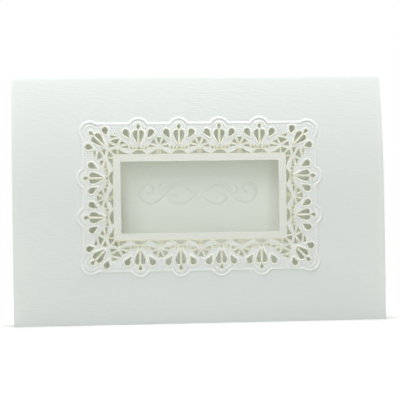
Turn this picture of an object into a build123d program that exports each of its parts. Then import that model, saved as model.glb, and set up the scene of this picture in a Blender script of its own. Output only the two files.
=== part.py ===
# Wedding invitation card: one sheet of card stock folded along its top edge.
# The front panel has a lace border, embossed and cut through, round a window.
# Frame: +Z up, front panel towards -Y, origin on the table under the middle.
import math
import os

from build123d import *

# Sheet, in millimetres and degrees
card_width = 180.0
card_height = 120.0
stock_thickness = 0.4
fold_inner_radius = 0.5
leg_height = 60.0
lean_angle = 14.0

# Window, the plain band round it, and how far both stand above the middle of the panel
window_width = 76.6
window_height = 34.6
band_width = 3.3
lace_rise = 1.0

# Lace layout: fans stand on the outer edge of the band
fan_pitch_long = 19.6
fan_pitch_short = 18.9
fans_on_long_side = 4
fans_on_short_side = 2
corner_fan_shift = 1.4

# One fan, measured outwards from the band and sideways from its axis
dot_reach = 13.6
dot_radius = 0.8
dot_tail = 1.6
midrib_width = 1.0
petal_root_reach = 5.2
petal_crown_reach = 11.6
petal_belly_reach = 9.7
petal_belly_offset = 2.55
petal_tip_reach = 11.5
petal_tip_offset = 1.7
drop_reach = 10.7
drop_offset = 6.1
drop_radius = 1.4
drop_tip_reach = 8.0
drop_tip_offset = 4.5
corner_drop_reach = 9.8
corner_drop_offset = 5.7
corner_drop_tip_reach = 7.7
corner_drop_tip_offset = 4.6
moon_half_width = 3.4
moon_low = 0.3
moon_high = 2.1

# One spoked wheel between two fans
wheel_reach = 3.75
wedge_inner_radius = 1.3
wedge_outer_radius = 4.4
wedge_half_angle = 16.0
wedge_angles = (45.0, 90.0, 135.0)

# Scalloped outline of the embossed lace field
border_reach = 15.5
border_corner_radius = 4.5
scallop_reach = 12.9
scallop_radius = 5.2
corner_scallop_reach = 14.4
corner_scallop_radius = 5.4
emboss_height = 0.25


def sine(angle):
    return math.sin(math.radians(angle))


def outwards(angle):
    # Direction out of the front face in the section, where it leans back by an angle
    return Vector(-math.cos(math.radians(angle)), math.sin(math.radians(angle)))


# Values that follow from the driving sizes
band_half_width = window_width / 2 + band_width
band_half_height = window_height / 2 + band_width
fold_outer_radius = fold_inner_radius + stock_thickness
fold_centre = Vector(0, card_height - fold_outer_radius)
bow_height = card_height - leg_height - fold_outer_radius * (1 - sine(lean_angle))
bow_radius = bow_height / sine(lean_angle)
bow_centre = fold_centre - outwards(lean_angle) * (bow_radius - fold_outer_radius)
front_face_y = bow_centre.X - bow_radius
lace_centre_height = card_height / 2 + lace_rise
lace_plane = Plane((0, 0, lace_centre_height), x_dir=(1, 0, 0), z_dir=(0, -1, 0))
section_plane = Plane((-card_width / 2, 0, 0), x_dir=(0, 1, 0), z_dir=(1, 0, 0))
through_depth = -2 * front_face_y


def half_section(inner, outer):
    # Front half of the folded section between two offsets from its outer face:
    # an upright leg, a bow that leans back more and more, and half of the fold
    ends = []
    for off in (outer, inner):
        fold = fold_outer_radius + off
        bow = bow_radius + off
        crest = fold_centre + outwards(90) * fold
        fold_end = fold_centre + outwards(lean_angle) * fold
        leg_top = bow_centre + outwards(0) * bow
        leg_foot = Vector(leg_top.X, 0)
        RadiusArc(crest, fold_end, -fold)
        RadiusArc(fold_end, leg_top, -bow)
        Line(leg_top, leg_foot)
        ends.append((crest, leg_foot))
    Line(ends[0][0], ends[1][0])
    Line(ends[0][1], ends[1][1])


def teardrop(centre, radius, tip):
    # Half-round end about a centre, drawn in along two straight sides to a point
    heading = math.atan2(tip[1] - centre[1], tip[0] - centre[0])
    rim = [
        (centre[0] + radius * math.cos(heading + turn), centre[1] + radius * math.sin(heading + turn))
        for turn in (math.pi / 2, math.pi, -math.pi / 2)
    ]
    Line(tip, rim[0])
    ThreePointArc(*rim)
    Line(rim[2], tip)


def petal(side):
    # Straight edge along the midrib, a straight flank, and a blunt round end from the belly to the crown
    root = (side * midrib_width / 2, petal_root_reach)
    crown = (side * midrib_width / 2, petal_crown_reach)
    belly = (side * petal_belly_offset, petal_belly_reach)
    tip = (side * petal_tip_offset, petal_tip_reach)
    Line(crown, root)
    Line(root, belly)
    ThreePointArc(belly, tip, crown)


def side_places(count, pitch):
    # Centred places along one side
    return [(index - (count - 1) / 2) * pitch for index in range(count)]


def around(long_places, short_places):
    # The same motif on all four sides of the band, pointing outwards
    places = []
    for place in long_places:
        places.append(Location((place, band_half_height), 0))
        places.append(Location((place, -band_half_height), 180))
    for place in short_places:
        places.append(Location((-band_half_width, place), 90))
        places.append(Location((band_half_width, place), -90))
    return places


def corners(shift):
    # One motif at each corner of the band, pointing outwards along the diagonal
    step = shift / math.sqrt(2)
    places = []
    for side, turn in ((1, -45), (-1, 45)):
        places.append(Location((side * (band_half_width + step), band_half_height + step), turn))
        places.append(Location((-side * (band_half_width + step), -band_half_height - step), turn + 180))
    return places


fan_places = around(
    side_places(fans_on_long_side, fan_pitch_long),
    side_places(fans_on_short_side, fan_pitch_short),
)
corner_fan_places = corners(corner_fan_shift)
wheel_places = around(
    side_places(fans_on_long_side - 1, fan_pitch_long),
    side_places(fans_on_short_side - 1, fan_pitch_short),
)

# One fan: a dot over two petals
with BuildSketch() as fan:
    with BuildLine():
        teardrop((0, dot_reach), dot_radius, (0, dot_reach - dot_tail))
    make_face()
    for side in (-1, 1):
        with BuildLine():
            petal(side)
        make_face()

# The drops beside a fan, which stand closer in at the corners
with BuildSketch() as side_drops:
    for side in (-1, 1):
        with BuildLine():
            teardrop(
                (side * drop_offset, drop_reach), drop_radius,
                (side * drop_tip_offset, drop_tip_reach),
            )
        make_face()

with BuildSketch() as corner_drops:
    for side in (-1, 1):
        with BuildLine():
            teardrop(
                (side * corner_drop_offset, corner_drop_reach), drop_radius,
                (side * corner_drop_tip_offset, corner_drop_tip_reach),
            )
        make_face()

# Half-moon under a fan, its flat side along the band
with BuildSketch() as half_moon:
    with BuildLine():
        ThreePointArc((-moon_half_width, moon_low), (0, moon_high), (moon_half_width, moon_low))
        Line((moon_half_width, moon_low), (-moon_half_width, moon_low))
    make_face()

# Wheel between two fans: wedges round a hub on its outer half
with BuildSketch() as wheel:
    for angle in wedge_angles:
        heading = math.radians(angle)
        spread = math.radians(wedge_half_angle)
        root = (wedge_inner_radius * math.cos(heading), wheel_reach + wedge_inner_radius * math.sin(heading))
        rim = [
            (wedge_outer_radius * math.cos(heading + turn),
             wheel_reach + wedge_outer_radius * math.sin(heading + turn))
            for turn in (-spread, spread)
        ]
        with BuildLine():
            Polyline(root, *rim, close=True)
        make_face()

# Everything that is cut through the front panel
with BuildSketch(lace_plane) as cut_outs:
    Rectangle(window_width, window_height)
    with Locations(*fan_places):
        add(fan.sketch)
        add(side_drops.sketch)
        add(half_moon.sketch)
    with Locations(*corner_fan_places):
        add(fan.sketch)
        add(corner_drops.sketch)
    with Locations(*wheel_places):
        add(wheel.sketch)

# Embossed field of the lace, out to its scalloped outline
with BuildSketch(lace_plane) as lace_outline:
    RectangleRounded(
        2 * (band_half_width + border_reach), 2 * (band_half_height + border_reach), border_corner_radius,
    )
    with Locations(*[place * Location((0, scallop_reach)) for place in fan_places]):
        Circle(scallop_radius)
    with Locations(*[place * Location((0, corner_scallop_reach)) for place in corner_fan_places]):
        Circle(corner_scallop_radius)

with BuildPart() as lace_field:
    with BuildSketch(section_plane):
        with BuildLine():
            half_section(-stock_thickness / 2, emboss_height)
        make_face()
    extrude(amount=card_width)
    extrude(lace_outline.sketch, amount=through_depth, mode=Mode.INTERSECT)

with BuildPart() as folded_card:
    with BuildSketch(section_plane):
        with BuildLine():
            half_section(-stock_thickness, 0)
        make_face()
        mirror(about=Plane.YZ)
    extrude(amount=card_width)
    add(lace_field.part)
    extrude(cut_outs.sketch, amount=through_depth, mode=Mode.SUBTRACT)

os.makedirs("parts", exist_ok=True)
folded_card.part.label = "folded_card"
export_step(folded_card.part, "parts/folded_card.step")
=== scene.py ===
import math

import bmesh
import bpy
import numpy as np
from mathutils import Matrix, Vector, geometry, kdtree


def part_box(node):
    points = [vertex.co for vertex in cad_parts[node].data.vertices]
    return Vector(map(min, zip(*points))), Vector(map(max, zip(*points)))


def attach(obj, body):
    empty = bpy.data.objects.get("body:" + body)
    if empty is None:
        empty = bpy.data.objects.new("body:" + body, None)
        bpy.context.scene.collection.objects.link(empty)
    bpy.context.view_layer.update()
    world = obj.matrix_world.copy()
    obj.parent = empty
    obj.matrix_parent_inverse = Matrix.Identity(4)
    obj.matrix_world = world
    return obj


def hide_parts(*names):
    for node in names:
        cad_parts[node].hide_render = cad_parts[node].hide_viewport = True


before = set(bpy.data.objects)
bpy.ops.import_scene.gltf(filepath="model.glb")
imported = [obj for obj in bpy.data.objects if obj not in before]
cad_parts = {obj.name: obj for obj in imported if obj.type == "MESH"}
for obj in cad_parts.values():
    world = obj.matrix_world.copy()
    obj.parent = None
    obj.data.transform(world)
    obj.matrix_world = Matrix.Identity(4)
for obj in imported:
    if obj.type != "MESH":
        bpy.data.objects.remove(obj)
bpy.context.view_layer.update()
print("frame loaded:", sorted(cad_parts))

mm = 0.001
cardLow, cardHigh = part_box("folded_card")
cardWidth = (cardHigh.x - cardLow.x) / mm
cardHeight = cardHigh.z / mm


def linearColour(hexCode):
    # sRGB hex to the linear values that a shader socket takes
    parts = [int(hexCode[i:i + 2], 16) / 255 for i in (1, 3, 5)]
    return tuple(p / 12.92 if p <= 0.04045 else ((p + 0.055) / 1.055) ** 2.4 for p in parts) + (1.0,)


def addNode(tree, kind, settings=None, links=None):
    # settings: node property or input to value; links: input to an output socket
    # an input goes by its name, or by its number where two share a name
    node = tree.nodes.new(kind)
    for name, value in (settings or {}).items():
        if isinstance(name, str) and hasattr(node, name):
            setattr(node, name, value)
        else:
            node.inputs[name].default_value = value
    for name, socket in (links or {}).items():
        tree.links.new(socket, node.inputs[name])
    return node


def newMaterial(name):
    material = bpy.data.materials.new(name)
    material.use_nodes = True
    material.node_tree.nodes.clear()
    return material, material.node_tree


def seenRay(tree):
    # 1 for rays that show a surface to the eye: straight, mirrored or through
    path = addNode(tree, "ShaderNodeLightPath")
    share = path.outputs["Is Camera Ray"]
    for name in ("Is Glossy Ray", "Is Transmission Ray"):
        more = addNode(tree, "ShaderNodeMath", {"operation": "MAXIMUM"}, {0: share, 1: path.outputs[name]})
        share = more.outputs[0]
    return share


def smoothStep(low, high, values):
    share = np.clip((values - low) / (high - low), 0, 1)
    return share * share * (3 - 2 * share)


def ridge(values, centre, halfWidth):
    # Rounded bump, 1 at its centre and 0 beyond its half-width
    share = np.clip(1 - np.abs(values - centre) / halfWidth, 0, 1)
    return share * share * (3 - 2 * share)


# Section of the folded sheet, in mm and degrees: upright leg, bow that leans back, tight fold
section = {"stock": 0.4, "foldInner": 0.5, "legHeight": 60.0, "leanAngle": 14.0}


def sectionShape():
    # Centres and radii of the outer face, worked down from the fold
    lean = math.radians(section["leanAngle"])
    foldRadius = section["foldInner"] + section["stock"]
    foldZ = cardHeight - foldRadius
    bowHeight = cardHeight - section["legHeight"] - foldRadius * (1 - math.sin(lean))
    bowRadius = bowHeight / math.sin(lean)
    return {
        "lean": lean, "foldRadius": foldRadius, "foldZ": foldZ, "bowRadius": bowRadius,
        "bowY": (bowRadius - foldRadius) * math.cos(lean),
        "foldStart": foldZ + foldRadius * math.sin(lean),
        "foldLength": foldRadius * (math.pi - 2 * lean),
    }


shape = sectionShape()
sheetLength = 2 * shape["foldStart"] + shape["foldLength"]


def frontFace(height):
    # Depth and lean of the front panel's outer face at each height
    lean = np.arcsin(np.clip((height - section["legHeight"]) / shape["bowRadius"], 0, 1))
    return shape["bowY"] - shape["bowRadius"] * np.cos(lean), lean


def foldSheet(across, along, lift):
    # Flat sheet to folded card: along runs up the front, over the fold and down the back
    turn = np.clip((along - shape["foldStart"]) / shape["foldLength"], 0, 1)
    back = turn >= 1
    folded = (turn > 0) & ~back
    height = np.where(back, sheetLength - along, np.minimum(along, shape["foldStart"]))
    depth, lean = frontFace(height)
    angle = np.where(back, math.pi - lean, lean)
    depth = np.where(back, -depth, depth)
    sweep = shape["lean"] + turn * (math.pi - 2 * shape["lean"])
    angle = np.where(folded, sweep, angle)
    depth = np.where(folded, -shape["foldRadius"] * np.cos(sweep), depth)
    height = np.where(folded, shape["foldZ"] + shape["foldRadius"] * np.sin(sweep), height)
    return np.stack([across, depth - np.cos(angle) * lift, height + np.sin(angle) * lift], 1)


# Lace border, in mm from its centre; a motif stands on the band's outer edge: sideways, outwards
lace = {
    "centreHeight": 61.0,
    "window": (76.6, 34.6),
    "band": 3.3,
    "pitch": (19.6, 18.9),
    "fans": (4, 2),
    "cornerShift": 1.4,
    "dot": ((0, 13.6), 0.8, (0, 12.0)),
    "drop": ((6.1, 10.7), 1.4, (4.5, 8.0)),
    "cornerDrop": ((5.7, 9.8), 1.4, (4.6, 7.7)),
    "petal": (
        ((0.5, 5.2), (0.5, 7.2), (0.5, 9.2), (0.5, 11.1)),
        ((0.5, 11.1), (0.55, 11.95), (2.6, 11.75), (2.6, 10.1)),
        ((2.6, 10.1), (2.6, 8.8), (1.3, 6.8), (0.5, 5.2)),
    ),
    "moon": (3.4, 0.3, 2.15),
    "fanFoot": ((0, 4.1), (-0.95, 2.75), (0.95, 2.75)),
    "fanFootSides": (((1.3, 2.75), (2.3, 2.75), (2.4, 4.35)), ((2.75, 2.75), (4.1, 2.65), (3.85, 4.45))),
    "wheelTop": ((0, 5.2), (1.25, 8.15), (-1.25, 8.15)),
    "wheelSides": (
        ((0.95, 4.85), (3.8, 5.8), (2.25, 7.65)),
        ((1.5, 4.0), (4.9, 3.3), (4.5, 4.8)),
        ((1.0, 0.3), (4.95, 0.3), (3.1, 1.25), (1.0, 2.7)),
        ((0.2, 0.3), (0.65, 0.3), (0.65, 2.4), (0.2, 2.4)),
    ),
    "endWheel": (
        ((-3.6, 9.6), (-3.6, 8.2), (-0.4, 8.8)),
        ((-0.7, 5.1), (0.8, 7.8), (-2.0, 7.4), (-3.8, 6.7)),
        ((-1.5, 4.2), (-4.3, 5.7), (-4.4, 3.5)),
        ((-0.75, 2.9), (-3.4, 2.2), (-1.9, 0.4), (-0.65, 0.3)),
        ((0.0, 2.7), (0.0, 0.3), (4.7, 0.3), (2.4, 1.2)),
        ((0.6, 4.6), (3.6, 5.7), (1.5, 6.6)),
        ((0.9, 3.7), (4.7, 4.5), (4.9, 3.1)),
    ),
    "borderReach": 15.5,
    "borderCorner": 4.5,
    "scallop": (12.9, 5.2),
    "cornerScallop": (14.4, 5.4),
    "margin": 1.0,  # beyond the scallops
    "step": 0.3,  # between points along an opening
    "points": {"tear": 16, "curve": 12, "moon": 14},  # on one curve of an outline
}
bandHalf = (lace["window"][0] / 2 + lace["band"], lace["window"][1] / 2 + lace["band"])
laceCentre = np.array([0, lace["centreHeight"]])
laceReach = np.array(bandHalf) + sum(lace["scallop"]) + lace["margin"]


def tearOutline(centre, radius, tip):
    # Round end with its two tangents drawn out to a point
    reach = math.dist(centre, tip)
    heading = math.atan2(tip[1] - centre[1], tip[0] - centre[0])
    spread = math.acos(radius / reach)
    turns = np.linspace(spread, 2 * math.pi - spread, lace["points"]["tear"]) + heading
    return [tip] + [(centre[0] + radius * math.cos(t), centre[1] + radius * math.sin(t)) for t in turns]


def curveOutline(pieces):
    # Closed curve from a few end-to-end curves: start, two handles, end
    line = []
    for piece in pieces:
        line += geometry.interpolate_bezier(*[Vector(p) for p in piece], lace["points"]["curve"])[:-1]
    return [tuple(p) for p in line]


def arcOutline(halfWidth, low, high):
    # Half-moon: an arc over a straight chord
    rise = high - low
    radius = (halfWidth ** 2 + rise ** 2) / (2 * rise)
    reach = math.asin(halfWidth / radius)
    turns = np.linspace(-reach, reach, lace["points"]["moon"])
    return [(radius * math.sin(t), high - radius + radius * math.cos(t)) for t in turns]


def mirrored(points):
    return [(-x, y) for x, y in points]


def fanHoles(dropName="drop"):
    # Dot, two petals and two side drops
    drop = tearOutline(*lace[dropName])
    petal = curveOutline(lace["petal"])
    return [tearOutline(*lace["dot"]), petal, mirrored(petal), drop, mirrored(drop)]


def footHoles():
    # Small openings between a fan's foot and the band
    holes = [arcOutline(*lace["moon"]), list(lace["fanFoot"])]
    for hole in lace["fanFootSides"]:
        holes += [list(hole), mirrored(hole)]
    return holes


def wheelHoles():
    # Spoked wheel between two fans
    holes = [list(lace["wheelTop"])]
    for hole in lace["wheelSides"]:
        holes += [list(hole), mirrored(hole)]
    return holes


def placed(points, origin, angle):
    turn = math.radians(angle)
    c, s = math.cos(turn), math.sin(turn)
    return [(origin[0] + x * c - y * s, origin[1] + x * s + y * c) for x, y in points]


def sideRow(count, pitch):
    return [(i - (count - 1) / 2) * pitch for i in range(count)]


def around(longRow, shortRow):
    # Places on the four sides of the band: origin, turn
    places = []
    for x in longRow:
        places += [((x, bandHalf[1]), 0), ((x, -bandHalf[1]), 180)]
    for z in shortRow:
        places += [((-bandHalf[0], z), 90), ((bandHalf[0], z), -90)]
    return places


def cornerRow():
    # Places at the four corners of the band, pointing out along the diagonals
    step = lace["cornerShift"] / math.sqrt(2)
    places = []
    for side, turn in ((1, -45), (-1, 45)):
        places.append(((side * (bandHalf[0] + step), bandHalf[1] + step), turn))
        places.append(((-side * (bandHalf[0] + step), -bandHalf[1] - step), turn + 180))
    return places


def laceHoles():
    # Every opening of the border as (kind, outline) and every scallop as (middle, radius),
    # measured from the lace centre
    longFans, shortFans = lace["fans"]
    longPitch, shortPitch = lace["pitch"]
    fanPlaces = around(sideRow(longFans, longPitch), sideRow(shortFans, shortPitch))
    wheelPlaces = around(sideRow(longFans - 1, longPitch), sideRow(shortFans - 1, shortPitch))
    cornerPlaces = cornerRow()
    endWheels = around(
        [s * longFans / 2 * longPitch for s in (-1, 1)],
        [s * shortFans / 2 * shortPitch for s in (-1, 1)],
    )
    holes = []
    for origin, turn in fanPlaces:
        holes += [("fan", placed(h, origin, turn)) for h in fanHoles()]
        holes += [("fine", placed(h, origin, turn)) for h in footHoles()]
    for origin, turn in cornerPlaces:
        holes += [("fan", placed(h, origin, turn)) for h in fanHoles("cornerDrop")]
    for origin, turn in wheelPlaces:
        holes += [("fine", placed(h, origin, turn)) for h in wheelHoles()]
    for origin, turn in endWheels:
        # drawn for a corner on their left, so half of them are turned over
        along = origin[0] * math.cos(math.radians(turn)) + origin[1] * math.sin(math.radians(turn))
        for hole in lace["endWheel"]:
            holes.append(("fine", placed(hole if along < 0 else mirrored(hole), origin, turn)))
    lobes = []
    for name, places in (("scallop", fanPlaces), ("cornerScallop", cornerPlaces)):
        reach, radius = lace[name]
        lobes += [(placed([(0, reach)], origin, turn)[0], radius) for origin, turn in places]
    return holes, lobes


def resampled(outline, step):
    # Closed outline, counter-clockwise, with points no further apart than a step
    xs, zs = np.array(outline).T
    if np.sum(xs * np.roll(zs, -1) - zs * np.roll(xs, -1)) < 0:
        outline = outline[::-1]
    points = []
    for i, start in enumerate(outline):
        end = outline[(i + 1) % len(outline)]
        count = max(1, math.ceil(math.dist(start, end) / step))
        points += [(start[0] + (end[0] - start[0]) * k / count, start[1] + (end[1] - start[1]) * k / count)
                   for k in range(count)]
    return points


def rectangleInset(points):
    # Distance inside the border's rounded rectangle
    halfX = bandHalf[0] + lace["borderReach"] - lace["borderCorner"]
    halfZ = bandHalf[1] + lace["borderReach"] - lace["borderCorner"]
    gap = np.abs(points) - np.array([halfX, halfZ])
    outside = np.hypot(np.maximum(gap[:, 0], 0), np.maximum(gap[:, 1], 0))
    return lace["borderCorner"] - outside - np.minimum(np.maximum(gap[:, 0], gap[:, 1]), 0)


def lobeInset(points, lobes):
    # Distance inside the nearest scallop
    inset = np.full(len(points), -np.inf)
    for centre, radius in lobes:
        inset = np.maximum(inset, radius - np.hypot(points[:, 0] - centre[0], points[:, 1] - centre[1]))
    return inset


# Mesh density of the sheet, in mm; apart: share of an edge step that points keep from an edge;
# weld: how near two points are joined; sharpAngle: degrees past which an edge between faces is crisp
grain = {
    "plain": 4.5, "bend": 2.0, "fold": 0.25, "band": 1.2, "wheel": 0.6, "relief": 0.44, "stipple": 0.34,
    "scroll": 0.5, "window": 1.2, "wheelZone": 7.5, "clear": 0.55, "apart": 0.75, "weld": 0.00001,
    "sharpAngle": 50.0,
}


def hexLattice(low, high, step):
    # Points in staggered rows
    rows = np.arange(low[1], high[1] + step / 2, step * math.sqrt(3) / 2)
    points = []
    for i, z in enumerate(rows):
        xs = np.arange(low[0] + (i % 2) * step / 2, high[0] + step / 4, step)
        points.append(np.stack([xs, np.full_like(xs, z)], 1))
    return np.concatenate(points)


# Blind-embossed scroll on the inside of the back panel, in mm from its centre, right half only;
# a stroke has its curve and its half-width at either end
scroll = {
    "centre": (0.0, 62.5),
    "strokes": (
        (((2.2, 0.0), (6.0, 5.6), (11.5, 6.6), (15.5, 2.2)), 0.35, 0.75),
        (((15.5, 2.2), (18.5, -1.2), (21.5, -5.2), (25.6, -3.2)), 0.75, 0.6),
        (((25.6, -3.2), (30.2, -0.8), (29.2, 5.2), (25.2, 5.0)), 0.6, 0.45),
        (((25.2, 5.0), (21.8, 4.8), (21.6, 0.9), (24.4, 0.9)), 0.45, 0.35),
        (((2.2, 0.0), (5.6, -4.8), (10.6, -5.6), (13.2, -2.6)), 0.3, 0.6),
        (((13.2, -2.6), (14.6, -0.6), (11.6, 1.4), (10.2, -0.6)), 0.6, 0.35),
        (((17.4, 0.2), (19.4, 1.2), (19.6, 3.6), (18.2, 5.4)), 0.5, 0.2),
    ),
    "ring": (1.5, 0.45),
    "margin": 2.0,
    "press": (0.35, -0.25),  # fade across a stroke's edge
    "points": 40,
}
scrollCentre = np.array([scroll["centre"][0], sheetLength - scroll["centre"][1]])
turnedOver = np.array([1, -1])  # the back panel runs down as the sheet runs on


def scrollStrokes():
    # Points along the scroll with the half-width of the stroke at each
    points, widths = [], []
    for handles, first, last in scroll["strokes"]:
        line = geometry.interpolate_bezier(*[Vector(h) for h in handles], scroll["points"])
        for i, p in enumerate(line):
            width = first + (last - first) * i / (len(line) - 1)
            points += [(p.x, p.y), (-p.x, p.y)]
            widths += [width, width]
    radius, width = scroll["ring"]
    for t in np.linspace(0, 2 * math.pi, scroll["points"], endpoint=False):
        points.append((radius * math.cos(t), radius * math.sin(t)))
        widths.append(width)
    return np.array(points), np.array(widths)


def scrollBox(strokePoints):
    # Corners of the area round the scroll
    return strokePoints.min(0) - scroll["margin"], strokePoints.max(0) + scroll["margin"]


def scrollLattice(strokePoints):
    # Points over that area, placed on the flat sheet
    return hexLattice(*scrollBox(strokePoints), grain["scroll"]) * turnedOver + scrollCentre


def nearest(points, targets):
    # Distance from each point to its nearest target, and which target that is
    tree = kdtree.KDTree(len(targets))
    for i, t in enumerate(targets):
        tree.insert((t[0], t[1], 0), i)
    tree.balance()
    found = [tree.find((p[0], p[1], 0)) for p in points]
    return np.array([f[2] for f in found]), np.array([f[1] for f in found])


def plainLattice(keepOut):
    # Coarse points over the whole sheet, closer together where it bends
    stops = [0, section["legHeight"], shape["foldStart"]]
    steps = [grain["plain"], grain["bend"]]
    rows = []
    for low, high, step in zip(stops, stops[1:], steps):
        rows += list(np.linspace(low, high, math.ceil((high - low) / step) + 1))[:-1]
    folds = list(np.linspace(shape["foldStart"], shape["foldStart"] + shape["foldLength"],
                             math.ceil(shape["foldLength"] / grain["fold"]) + 1))
    rows = rows + folds + [sheetLength - r for r in reversed(rows)]
    columns = np.linspace(-cardWidth / 2, cardWidth / 2, math.ceil(cardWidth / grain["plain"]) + 1)
    inner = np.array([(x, s) for s in rows[1:-1] for x in columns[1:-1]])
    for low, high in keepOut:
        inside = np.all((inner > np.array(low)) & (inner < np.array(high)), axis=1)
        inner = inner[~inside]
    edge = [(x, 0) for x in columns[:-1]] + [(cardWidth / 2, s) for s in rows[:-1]]
    edge += [(x, sheetLength) for x in columns[:0:-1]] + [(-cardWidth / 2, s) for s in rows[:0:-1]]
    return inner, edge


def offBand(points):
    # Distance out from the band's outer edge
    return np.maximum(np.abs(points[:, 0]) - bandHalf[0], np.abs(points[:, 1]) - bandHalf[1])


# Relief of the embossing, in mm: a line has its distance in from an edge, half-width and height, the
# stipple its spacing, radius and height, and a pair is where a fade starts and ends
relief = {
    "field": 0.25,
    "fieldEdge": (-0.2, 0.35),
    "fieldLimit": -0.3,
    "cord": (0.65, 0.7, 0.3),
    "straightCord": 0.6,  # share of the cord's height between scallops
    "cordJoin": (-0.5, 0.5),
    "groove": (1.55, 0.5, -0.22),
    "innerCord": (2.45, 0.6, 0.25),
    "rim": (0.45, 0.65, 0.28),
    "stipple": (1.25, 0.5, 0.22),
    "stippleStart": (1.3, 1.7),
    "stippleClear": (1.0, 1.3),
    "stippleReach": (8.2, 8.8),
    "lobeEdge": (-0.4, 0.2),
    "holeFade": (0.3, 0.9),
    "arcFade": (0.8, 2.8),
    "scroll": 0.45,
}


def scallopShare(points):
    # 1 over the outer part of a scallop, where its arcs run, fading out into the border
    return 1 - smoothStep(*relief["arcFade"], rectangleInset(points))


def stippleZone(points, near, lobes):
    # Where the field between the scallops and drops is stippled, with a soft edge
    inside = smoothStep(*relief["stippleStart"], rectangleInset(points))
    arcs = scallopShare(points) * smoothStep(*relief["lobeEdge"], lobeInset(points, lobes))
    beyond = smoothStep(*relief["stippleReach"], offBand(points))
    return inside * (1 - arcs) * smoothStep(*relief["stippleClear"], near) * beyond


def laceLattice(rim, lobes):
    # Points between the openings, closer together where there is relief
    halfW, halfH = lace["window"][0] / 2, lace["window"][1] / 2
    chosen = []
    for zone in ("band", "wheel", "relief", "stipple"):
        points = hexLattice(-laceReach, laceReach, grain[zone])
        out = offBand(points)
        near, _ = nearest(points, rim)
        dotted = stippleZone(points, near, lobes) > 0
        keep = {
            "band": (out < 0) & ((np.abs(points[:, 0]) > halfW) | (np.abs(points[:, 1]) > halfH)),
            "wheel": (out >= 0) & (out < grain["wheelZone"]),
            "relief": (out >= grain["wheelZone"]) & ~dotted,
            "stipple": dotted,
        }[zone]
        chosen.append(points[keep & (near > lace["step"] * grain["apart"])])
    return np.concatenate(chosen)


def laceLift(points, near, kinds, lobes):
    # Height of the embossing, and the share of painted highlight that whitens the raised relief
    inLobe = lobeInset(points, lobes)
    inset = np.maximum(rectangleInset(points), inLobe)
    onFan = kinds == "fan"
    clearOfHoles = smoothStep(*relief["holeFade"], near)
    centre, halfWidth, height = relief["cord"]
    level = relief["straightCord"] + (1 - relief["straightCord"]) * smoothStep(*relief["cordJoin"], inLobe)
    raised = height * level * ridge(inset, centre, halfWidth) * clearOfHoles
    for name in ("groove", "innerCord"):
        centre, halfWidth, height = relief[name]
        raised += height * ridge(inLobe, centre, halfWidth) * clearOfHoles * scallopShare(points)
    centre, halfWidth, height = relief["rim"]
    raised += np.where(onFan, height * ridge(near, centre, halfWidth), 0)
    pitch, radius, height = relief["stipple"]
    rowHeight = pitch * math.sqrt(3) / 2
    row = np.round(points[:, 1] / rowHeight)
    shift = (row % 2) * pitch / 2
    column = np.round((points[:, 0] - shift) / pitch)
    apart = np.hypot(points[:, 0] - column * pitch - shift, points[:, 1] - row * rowHeight)
    zone = stippleZone(points, near, lobes)
    raised += height * zone * (1 - smoothStep(0, radius, apart))
    lift = relief["field"] * smoothStep(*relief["fieldEdge"], inset) + raised
    # painted highlight: the higher the relief stands, the whiter it is painted, in place of light catching
    # it
    paintedHighlight = np.clip(raised / relief["rim"][2], 0, 1)
    return np.where(inset > relief["fieldLimit"], lift, 0), paintedHighlight


def openingLoops():
    # The window and every opening of the lace as (kind, outline), and the scallops
    holes, lobes = laceHoles()
    halfW, halfH = lace["window"][0] / 2, lace["window"][1] / 2
    window = [(-halfW, -halfH), (halfW, -halfH), (halfW, halfH), (-halfW, halfH)]
    loops = [("window", resampled(window, grain["window"]))]
    loops += [(kind, resampled(outline, lace["step"])) for kind, outline in holes]
    print("lace openings:", len(holes))
    return loops, lobes


def flatSheet(loops, lacePoints, scrollPoints):
    # The flat sheet with its openings left out: points across and along, and triangles
    clear = grain["clear"]
    laceZone = (laceCentre - laceReach - clear, laceCentre + laceReach + clear)
    scrollZone = (scrollPoints.min(0) - clear, scrollPoints.max(0) + clear)
    inner, edge = plainLattice((laceZone, scrollZone))
    points = list(edge)
    faces = [list(range(len(edge)))]
    for _, loop in loops:
        start = len(points)
        points += [(x, z + lace["centreHeight"]) for x, z in loop]
        faces.append(list(range(start, len(points))))
    points = np.concatenate([np.array(points), lacePoints, scrollPoints, inner])
    withinFaces = 1  # keeps only what lies inside an outline
    flat, _, triangles, _, _, origins = geometry.delaunay_2d_cdt(
        [Vector(p) for p in points], [], faces, withinFaces, grain["weld"], True)
    # a triangle of the sheet alone lies in no opening
    kept = [t for t, origin in zip(triangles, origins) if list(origin) == [0]]
    print("sheet triangles:", len(kept))
    return np.array([(p.x, p.y) for p in flat]), kept


# Paper: colours and surface, then in mm the length and height of a felt streak, its depth, the size of a
# fleck and how far in from an edge the cutter scorched it; bandTint: that cream tone's share over the band
# round the window
# the white that raised relief is mixed towards is a painted highlight, standing in for light on raised
# paper
paper = {
    "plain": "#E9EFEF", "fleck": "#EDF2F2", "highlightWhite": "#FBFCFB",
    "scorched": "#F1ECD0", "through": "#E7E8D0",
    "roughness": 0.88, "ior": 1.48, "specular": 0.25, "translucence": 0.22,
    "streak": (4.5, 0.87), "streakDepth": 0.1, "streakStrength": 0.9, "fleckSize": 1.1,
    "burn": 0.45, "bandTint": 0.18,
}


def laceRelief(flat, rim, rimKind, lobes):
    # Lift, painted highlight on the raised relief and cream of the lace at each point of the flat sheet
    fromCentre = flat - laceCentre
    onLace = np.all(np.abs(fromCentre) < laceReach, axis=1)
    near, index = nearest(fromCentre, rim)
    lift, paintedHighlight = laceLift(fromCentre, near, rimKind[index], lobes)
    burnt = np.where(rimKind[index] != "window", 1 - smoothStep(0.0, paper["burn"], near), 0)
    warmed = paper["bandTint"] * (1 - smoothStep(0.0, paper["burn"], offBand(fromCentre)))
    return [np.where(onLace, values, 0) for values in (lift, paintedHighlight, np.maximum(burnt, warmed))]


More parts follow.
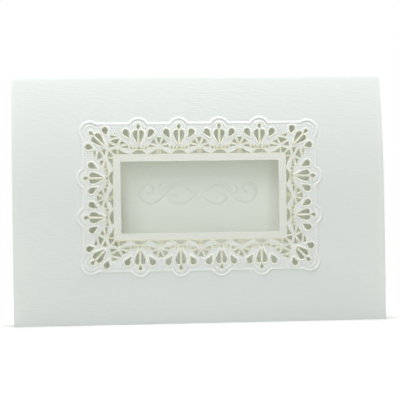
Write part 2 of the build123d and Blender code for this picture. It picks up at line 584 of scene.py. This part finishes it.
def scrollPress(flat, strokePoints, strokeWidths):
    # Which points of the flat sheet lie round the scroll, and how far each is pressed in, from 0 to 1
    low, high = scrollBox(strokePoints)
    fromScroll = (flat - scrollCentre) * turnedOver
    onScroll = np.all((fromScroll > low) & (fromScroll < high), axis=1)
    apart, index = nearest(fromScroll, strokePoints)
    return onScroll, smoothStep(*scroll["press"], apart - strokeWidths[index])


def buildCard():
    # One sheet: laid out flat, embossed, folded and given its thickness
    loops, lobes = openingLoops()
    rim = np.array([p for _, loop in loops for p in loop])
    rimKind = np.array([kind for kind, loop in loops for _ in loop])
    strokePoints, strokeWidths = scrollStrokes()
    lacePoints = laceLattice(rim, lobes) + laceCentre
    flat, kept = flatSheet(loops, lacePoints, scrollLattice(strokePoints))
    lift, paintedHighlight, cream = laceRelief(flat, rim, rimKind, lobes)
    onScroll, press = scrollPress(flat, strokePoints, strokeWidths)
    lift = np.where(onScroll, -relief["scroll"] * press, lift)

    places = foldSheet(flat[:, 0], flat[:, 1], lift) * mm
    bm = bmesh.new()
    # besides the cutter's cream, each point carries its share of painted highlight on the raised relief
    layers = {name: bm.verts.layers.float.new(name) for name in ("cutEdge", "paintedHighlight")}
    verts = {}
    for i in sorted({i for t in kept for i in t}):
        verts[i] = bm.verts.new(places[i])
        verts[i][layers["cutEdge"]] = float(cream[i])
        verts[i][layers["paintedHighlight"]] = float(paintedHighlight[i])
    for t in kept:
        bm.faces.new([verts[i] for i in t])
    bm.normal_update()
    bmesh.ops.solidify(bm, geom=bm.faces[:], thickness=section["stock"] * mm)
    bmesh.ops.recalc_face_normals(bm, faces=bm.faces[:])
    mesh = bpy.data.meshes.new("laceCard")
    bm.to_mesh(mesh)
    bm.free()
    mesh.shade_smooth()
    mesh.set_sharp_from_angle(angle=math.radians(grain["sharpAngle"]))
    card = bpy.data.objects.new("laceCard", mesh)
    bpy.context.scene.collection.objects.link(card)
    print("card triangles:", sum(len(p.vertices) - 2 for p in mesh.polygons))
    return card


def paperMaterial():
    # Felt-marked ivory embossing card: matte, fine level streaks, a painted highlight that whitens the
    # raised relief, cream where the cutter scorched it, and a warm glow where light comes through the sheet
    material, tree = newMaterial("feltMarkedCard")
    place = addNode(tree, "ShaderNodeTexCoord").outputs["Object"]
    length, height = paper["streak"]
    repeats = (1 / (length * mm), 1 / (length * mm), 1 / (height * mm))
    stretch = addNode(tree, "ShaderNodeMapping", {"Scale": repeats}, {"Vector": place})
    streak = addNode(tree, "ShaderNodeTexNoise", {"Scale": 1.0, "Detail": 2.0},
                     {"Vector": stretch.outputs["Vector"]})
    fleck = addNode(tree, "ShaderNodeTexNoise", {"Scale": 1 / (paper["fleckSize"] * mm)}, {"Vector": place})
    paintedHighlight = addNode(tree, "ShaderNodeAttribute", {"attribute_name": "paintedHighlight"})
    edge = addNode(tree, "ShaderNodeAttribute", {"attribute_name": "cutEdge"})
    # a colour mix takes its two colours at inputs 6 and 7 and gives the result at output 2
    tone = addNode(tree, "ShaderNodeMix",
                   {"data_type": "RGBA", 6: linearColour(paper["plain"]), 7: linearColour(paper["fleck"])},
                   {0: fleck.outputs["Fac"]})
    # painted highlight: raised relief mixed towards white
    tone = addNode(tree, "ShaderNodeMix", {"data_type": "RGBA", 7: linearColour(paper["highlightWhite"])},
                   {0: paintedHighlight.outputs["Fac"], 6: tone.outputs[2]})
    tone = addNode(tree, "ShaderNodeMix", {"data_type": "RGBA", 7: linearColour(paper["scorched"])},
                   {0: edge.outputs["Fac"], 6: tone.outputs[2]})
    bump = addNode(tree, "ShaderNodeBump",
                   {"Strength": paper["streakStrength"], "Distance": paper["streakDepth"] * mm},
                   {"Height": streak.outputs["Fac"]})
    face = addNode(tree, "ShaderNodeBsdfPrincipled",
                   {"Roughness": paper["roughness"], "IOR": paper["ior"],
                    "Specular IOR Level": paper["specular"]},
                   {"Base Color": tone.outputs[2], "Normal": bump.outputs["Normal"]})
    through = addNode(tree, "ShaderNodeBsdfTranslucent", {"Color": linearColour(paper["through"])})
    sheet = addNode(tree, "ShaderNodeMixShader", {"Fac": paper["translucence"]},
                    {1: face.outputs[0], 2: through.outputs[0]})
    addNode(tree, "ShaderNodeOutputMaterial", None, {"Surface": sheet.outputs[0]})
    return material


card = buildCard()
card.data.materials.append(paperMaterial())
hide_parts("folded_card")
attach(card, "root")
print("card built")

# Table top, in metres: holds the card's shadow near it, fades to plain white further out, and is dull
# in the light it gives back
table = {"size": 0.45, "colour": "#CCCCCC", "lift": 0.1, "fade": (0.15, 0.3), "bounce": "#A5A5A4"}


def laminateMaterial():
    # White laminate board: matte, with the card's shadow on it near the card and plain white beyond
    material, tree = newMaterial("whiteLaminate")
    matte = addNode(tree, "ShaderNodeBsdfDiffuse", {"Color": linearColour(table["colour"])})
    glow = addNode(tree, "ShaderNodeEmission", {"Strength": table["lift"]})
    both = addNode(tree, "ShaderNodeAddShader", None, {0: matte.outputs[0], 1: glow.outputs[0]})
    place = addNode(tree, "ShaderNodeTexCoord").outputs["Object"]
    reach = addNode(tree, "ShaderNodeVectorMath", {"operation": "LENGTH"}, {"Vector": place})
    near, far = table["fade"]
    faded = addNode(tree, "ShaderNodeMapRange",
                    {"interpolation_type": "SMOOTHSTEP", "From Min": near, "From Max": far},
                    {"Value": reach.outputs["Value"]})
    plain = addNode(tree, "ShaderNodeEmission", {"Strength": 1.0})
    top = addNode(tree, "ShaderNodeMixShader", None,
                  {"Fac": faded.outputs["Result"], 1: both.outputs[0], 2: plain.outputs[0]})
    dull = addNode(tree, "ShaderNodeBsdfDiffuse", {"Color": linearColour(table["bounce"])})
    pick = addNode(tree, "ShaderNodeMixShader", None,
                   {"Fac": seenRay(tree), 1: dull.outputs[0], 2: top.outputs[0]})
    addNode(tree, "ShaderNodeOutputMaterial", None, {"Surface": pick.outputs[0]})
    return material


def whiteTable():
    bm = bmesh.new()
    bmesh.ops.create_grid(bm, x_segments=2, y_segments=2, size=table["size"])
    mesh = bpy.data.meshes.new("whiteTable")
    bm.to_mesh(mesh)
    bm.free()
    floor = bpy.data.objects.new("whiteTable", mesh)
    bpy.context.scene.collection.objects.link(floor)
    floor.data.materials.append(laminateMaterial())


whiteTable()
print("table laid")

# Studio light, in metres and watts: a white room that is dim on the card, and soft boxes in front,
# up to the left, right over the fold and behind
studio = {
    "room": 0.03,
    "lamps": {
        "levelBox": {"place": (0.0, -1.4, 0.35), "size": 0.9, "power": 6.9},
        "leftBox": {"place": (-0.45, -1.1, 1.0), "size": 0.8, "power": 8.45},
        "overheadBox": {"place": (0.0, -0.02, 1.0), "size": 0.5, "power": 13.1},
        "backBox": {"place": (0.0, 1.2, 0.7), "size": 0.9, "power": 16.0},
    },
    "aim": (0.0, 0.0, 0.06),
}


def aimed(obj, place, target):
    obj.location = place
    obj.rotation_euler = (Vector(target) - Vector(place)).to_track_quat("-Z", "Y").to_euler()


def studioLight():
    for name, lamp in studio["lamps"].items():
        data = bpy.data.lights.new(name, "AREA")
        data.size = lamp["size"]
        data.energy = lamp["power"]
        holder = bpy.data.objects.new(name, data)
        bpy.context.scene.collection.objects.link(holder)
        aimed(holder, lamp["place"], studio["aim"])
    world = bpy.data.worlds.new("whiteRoom")
    bpy.context.scene.world = world
    world.use_nodes = True
    tree = world.node_tree
    tree.nodes.clear()
    white = linearColour("#FFFFFF")
    room = addNode(tree, "ShaderNodeBackground", {"Strength": studio["room"], "Color": white})
    seen = addNode(tree, "ShaderNodeBackground", {"Strength": 1.0, "Color": white})
    pick = addNode(tree, "ShaderNodeMixShader", None,
                   {"Fac": seenRay(tree), 1: room.outputs[0], 2: seen.outputs[0]})
    addNode(tree, "ShaderNodeOutputWorld", None, {"Surface": pick.outputs[0]})


studioLight()
print("lamps set:", len(studio["lamps"]))

# Camera level with the middle of the card, a little to its left, rolled slightly; degrees, mm and pixels
view = {
    "azimuth": -4.32,
    "elevation": -0.57,
    "roll": -0.88,
    "distance": 600.0,
    "focalPixels": 1226.7,
    "imagePixels": 400,
    "target": (0.44, 0.0, 59.41),
}


def photoCamera():
    data = bpy.data.cameras.new("photoCamera")
    data.sensor_fit = "HORIZONTAL"
    data.lens = data.sensor_width * view["focalPixels"] / view["imagePixels"]
    camera = bpy.data.objects.new("photoCamera", data)
    bpy.context.scene.collection.objects.link(camera)
    azimuth, elevation = math.radians(view["azimuth"]), math.radians(view["elevation"])
    target = Vector(view["target"]) * mm
    level = math.cos(elevation)
    back = Vector((math.sin(azimuth) * level, -math.cos(azimuth) * level, math.sin(elevation)))
    camera.location = target + back * view["distance"] * mm
    camera.rotation_euler = (-back).to_track_quat("-Z", "Y").to_euler()
    camera.rotation_euler.rotate_axis("Z", math.radians(view["roll"]))
    bpy.context.scene.camera = camera


photoCamera()
print("camera set")
bpy.context.scene.view_settings.view_transform = "Standard"
